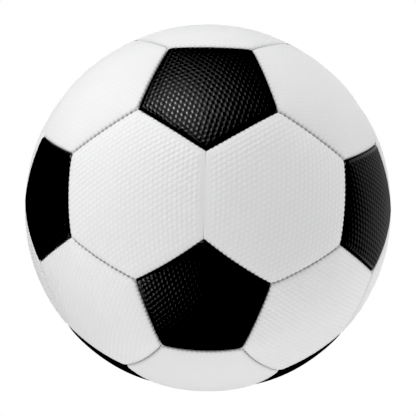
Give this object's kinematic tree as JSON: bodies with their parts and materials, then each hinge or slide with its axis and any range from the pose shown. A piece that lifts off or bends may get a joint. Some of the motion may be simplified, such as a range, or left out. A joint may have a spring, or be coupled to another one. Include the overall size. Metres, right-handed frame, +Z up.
{
  "type": "soccer ball",
  "caption": "Hand stitched football: pentagon and hexagon cover panels over foam pads, cloth lining and a rubber bladder with a needle valve.",
  "frame": {"origin": "centre of the ball", "axes": "+Z up; the two pentagons that face -Y are one above the other, with the seam between two hexagons upright on the -Y axis; the valve is in the hexagon towards -X, +Y, +Z"},
  "size_m": [0.22, 0.22, 0.22],
  "materials": {
    "black_cover": "coated synthetic leather, embossed, satin black",
    "white_cover": "coated synthetic leather, lightly embossed, satin white",
    "foam": "closed cell foam, matt",
    "lining_cloth": "plain weave polycotton laminate",
    "thread": "waxed polyester thread",
    "stiffener": "pressed cloth board",
    "bladder_rubber": "butyl rubber, matt, lightly dusted",
    "valve_rubber": "moulded rubber, satin",
    "core_rubber": "soft rubber, matt tan"
  },
  "bodies": {
    "root": {"black_pentagon_01": "black_cover", "black_pentagon_02": "black_cover", "black_pentagon_03": "black_cover", "black_pentagon_04": "black_cover", "black_pentagon_05": "black_cover", "black_pentagon_06": "black_cover", "black_pentagon_07": "black_cover", "black_pentagon_08": "black_cover", "black_pentagon_09": "black_cover", "black_pentagon_10": "black_cover", "black_pentagon_11": "black_cover", "black_pentagon_12": "black_cover", "white_hexagon_01": "white_cover", "white_hexagon_02": "white_cover", "white_hexagon_03": "white_cover", "white_hexagon_04": "white_cover", "white_hexagon_05": "white_cover", "white_hexagon_06": "white_cover", "white_hexagon_07": "white_cover", "white_hexagon_08": "white_cover", "white_hexagon_09": "white_cover", "white_hexagon_10": "white_cover", "white_hexagon_11": "white_cover", "white_hexagon_12": "white_cover", "white_hexagon_13": "white_cover", "white_hexagon_14": "white_cover", "white_hexagon_15": "white_cover", "white_hexagon_16": "white_cover", "white_hexagon_17": "white_cover", "white_hexagon_18": "white_cover", "white_hexagon_19": "white_cover", "white_hexagon_valve": "white_cover", "pentagon_foam_pads": "foam", "hexagon_foam_pads": "foam", "pentagon_lining_plies": "lining_cloth", "hexagon_lining_plies": "lining_cloth", "pentagon_seam_thread": "thread", "hexagon_seam_thread": "thread", "valve_stiffener_ring": "stiffener", "valve_patch": "bladder_rubber", "valve_housing": "valve_rubber", "valve_core": "core_rubber", "bladder": "bladder_rubber"}
  },
  "joints": []
}
